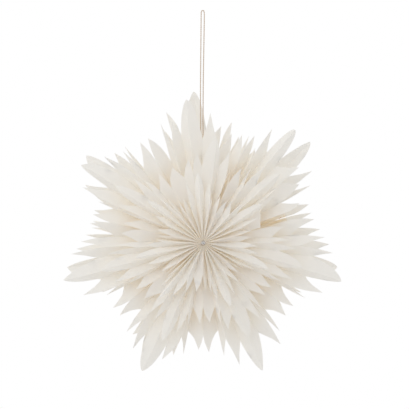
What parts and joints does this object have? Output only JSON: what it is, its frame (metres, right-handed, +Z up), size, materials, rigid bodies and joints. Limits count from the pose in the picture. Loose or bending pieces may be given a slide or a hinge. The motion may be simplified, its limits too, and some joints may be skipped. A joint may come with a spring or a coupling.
{
  "type": "paper star",
  "caption": "Hanging star of pleated, die-cut paper petals in stepped tiers on both faces, round a rolled core on a cotton cord loop; turns on its cord and folds shut like a fan.",
  "frame": {"origin": "inside the top of the cord loop, where a hook bears", "axes": "+Z up along the cord, +X to the right and -Y towards the viewer of the star's front"},
  "size_m": [0.4558, 0.132, 0.5932],
  "materials": {
    "petal_paper": "matte warm white",
    "leaf_paper": "matte warm white",
    "core_paper": "matte grey white",
    "cotton_cord": "natural twisted",
    "adhesive": "tacky, amber"
  },
  "bodies": {
    "hanger": {"hanging_loop": "cotton_cord"},
    "arm_1": {"arm_1_front_small_strip": "petal_paper", "arm_1_front_medium_strip": "petal_paper", "arm_1_front_large_strip": "petal_paper", "arm_1_rear_small_strip": "petal_paper", "arm_1_rear_medium_strip": "petal_paper", "arm_1_rear_large_strip": "petal_paper", "arm_1_left_leaf": "leaf_paper", "arm_1_right_leaf": "leaf_paper", "seam_glue_dots": "adhesive"},
    "arm_2": {"arm_2_front_small_strip": "petal_paper", "arm_2_front_medium_strip": "petal_paper", "arm_2_front_large_strip": "petal_paper", "arm_2_rear_small_strip": "petal_paper", "arm_2_rear_medium_strip": "petal_paper", "arm_2_rear_large_strip": "petal_paper", "arm_2_left_leaf": "leaf_paper", "arm_2_right_leaf": "leaf_paper", "centre_core": "core_paper", "cord_tie": "cotton_cord"},
    "arm_3": {"arm_3_front_small_strip": "petal_paper", "arm_3_front_medium_strip": "petal_paper", "arm_3_front_large_strip": "petal_paper", "arm_3_rear_small_strip": "petal_paper", "arm_3_rear_medium_strip": "petal_paper", "arm_3_rear_large_strip": "petal_paper", "arm_3_left_leaf": "leaf_paper", "arm_3_right_leaf": "leaf_paper"},
    "arm_4": {"arm_4_front_small_strip": "petal_paper", "arm_4_front_medium_strip": "petal_paper", "arm_4_front_large_strip": "petal_paper", "arm_4_rear_small_strip": "petal_paper", "arm_4_rear_medium_strip": "petal_paper", "arm_4_rear_large_strip": "petal_paper", "arm_4_left_leaf": "leaf_paper", "arm_4_right_leaf": "leaf_paper"},
    "arm_5": {"arm_5_front_small_strip": "petal_paper", "arm_5_front_medium_strip": "petal_paper", "arm_5_front_large_strip": "petal_paper", "arm_5_rear_small_strip": "petal_paper", "arm_5_rear_medium_strip": "petal_paper", "arm_5_rear_large_strip": "petal_paper", "arm_5_left_leaf": "leaf_paper", "arm_5_right_leaf": "leaf_paper"},
    "arm_6": {"arm_6_front_small_strip": "petal_paper", "arm_6_front_medium_strip": "petal_paper", "arm_6_front_large_strip": "petal_paper", "arm_6_rear_small_strip": "petal_paper", "arm_6_rear_medium_strip": "petal_paper", "arm_6_rear_large_strip": "petal_paper", "arm_6_left_leaf": "leaf_paper", "arm_6_right_leaf": "leaf_paper"},
    "arm_7": {"arm_7_front_small_strip": "petal_paper", "arm_7_front_medium_strip": "petal_paper", "arm_7_front_large_strip": "petal_paper", "arm_7_rear_small_strip": "petal_paper", "arm_7_rear_medium_strip": "petal_paper", "arm_7_rear_large_strip": "petal_paper", "arm_7_left_leaf": "leaf_paper", "arm_7_right_leaf": "leaf_paper"}
  },
  "joints": [
    {"name": "star_spin", "type": "hinge", "parent": "hanger", "child": "arm_2", "pos_m": [0, 0, 0], "axis": [0, 0, 1], "continuous": true},
    {"name": "fold_arm_1", "type": "hinge", "parent": "arm_2", "child": "arm_1", "pos_m": [0, 0, -0.382], "axis": [0, 1, 0], "range_deg": [-45.4, 0], "deforming": ["arm_1_front_small_strip", "arm_1_front_medium_strip", "arm_1_front_large_strip", "arm_1_rear_small_strip", "arm_1_rear_medium_strip", "arm_1_rear_large_strip", "arm_1_left_leaf", "arm_1_right_leaf"]},
    {"name": "fold_arm_3", "type": "hinge", "parent": "arm_2", "child": "arm_3", "pos_m": [0, 0, -0.382], "axis": [0, 1, 0], "range_deg": [0, 45.4], "deforming": ["arm_3_front_small_strip", "arm_3_front_medium_strip", "arm_3_front_large_strip", "arm_3_rear_small_strip", "arm_3_rear_medium_strip", "arm_3_rear_large_strip", "arm_3_left_leaf", "arm_3_right_leaf"]},
    {"name": "fold_arm_4", "type": "hinge", "parent": "arm_2", "child": "arm_4", "pos_m": [0, 0, -0.382], "axis": [0, 1, 0], "range_deg": [0, 90.8], "deforming": ["arm_4_front_small_strip", "arm_4_front_medium_strip", "arm_4_front_large_strip", "arm_4_rear_small_strip", "arm_4_rear_medium_strip", "arm_4_rear_large_strip", "arm_4_left_leaf", "arm_4_right_leaf"]},
    {"name": "fold_arm_5", "type": "hinge", "parent": "arm_2", "child": "arm_5", "pos_m": [0, 0, -0.382], "axis": [0, 1, 0], "range_deg": [0, 136.2], "deforming": ["arm_5_front_small_strip", "arm_5_front_medium_strip", "arm_5_front_large_strip", "arm_5_rear_small_strip", "arm_5_rear_medium_strip", "arm_5_rear_large_strip", "arm_5_left_leaf", "arm_5_right_leaf"]},
    {"name": "fold_arm_6", "type": "hinge", "parent": "arm_2", "child": "arm_6", "pos_m": [0, 0, -0.382], "axis": [0, 1, 0], "range_deg": [0, 181.6], "deforming": ["arm_6_front_small_strip", "arm_6_front_medium_strip", "arm_6_front_large_strip", "arm_6_rear_small_strip", "arm_6_rear_medium_strip", "arm_6_rear_large_strip", "arm_6_left_leaf", "arm_6_right_leaf"]},
    {"name": "fold_arm_7", "type": "hinge", "parent": "arm_2", "child": "arm_7", "pos_m": [0, 0, -0.382], "axis": [0, 1, 0], "range_deg": [0, 227], "deforming": ["arm_7_front_small_strip", "arm_7_front_medium_strip", "arm_7_front_large_strip", "arm_7_rear_small_strip", "arm_7_rear_medium_strip", "arm_7_rear_large_strip", "arm_7_left_leaf", "arm_7_right_leaf", "arm_2_front_small_strip", "arm_2_front_medium_strip", "arm_2_front_large_strip", "arm_2_rear_small_strip", "arm_2_rear_medium_strip", "arm_2_rear_large_strip", "arm_2_left_leaf", "arm_2_right_leaf"]}
  ],
  "couplings": [
    {"joint": "fold_arm_1", "follows": "fold_arm_7", "ratio": -0.2},
    {"joint": "fold_arm_3", "follows": "fold_arm_7", "ratio": 0.2},
    {"joint": "fold_arm_4", "follows": "fold_arm_7", "ratio": 0.4},
    {"joint": "fold_arm_5", "follows": "fold_arm_7", "ratio": 0.6},
    {"joint": "fold_arm_6", "follows": "fold_arm_7", "ratio": 0.8}
  ]
}
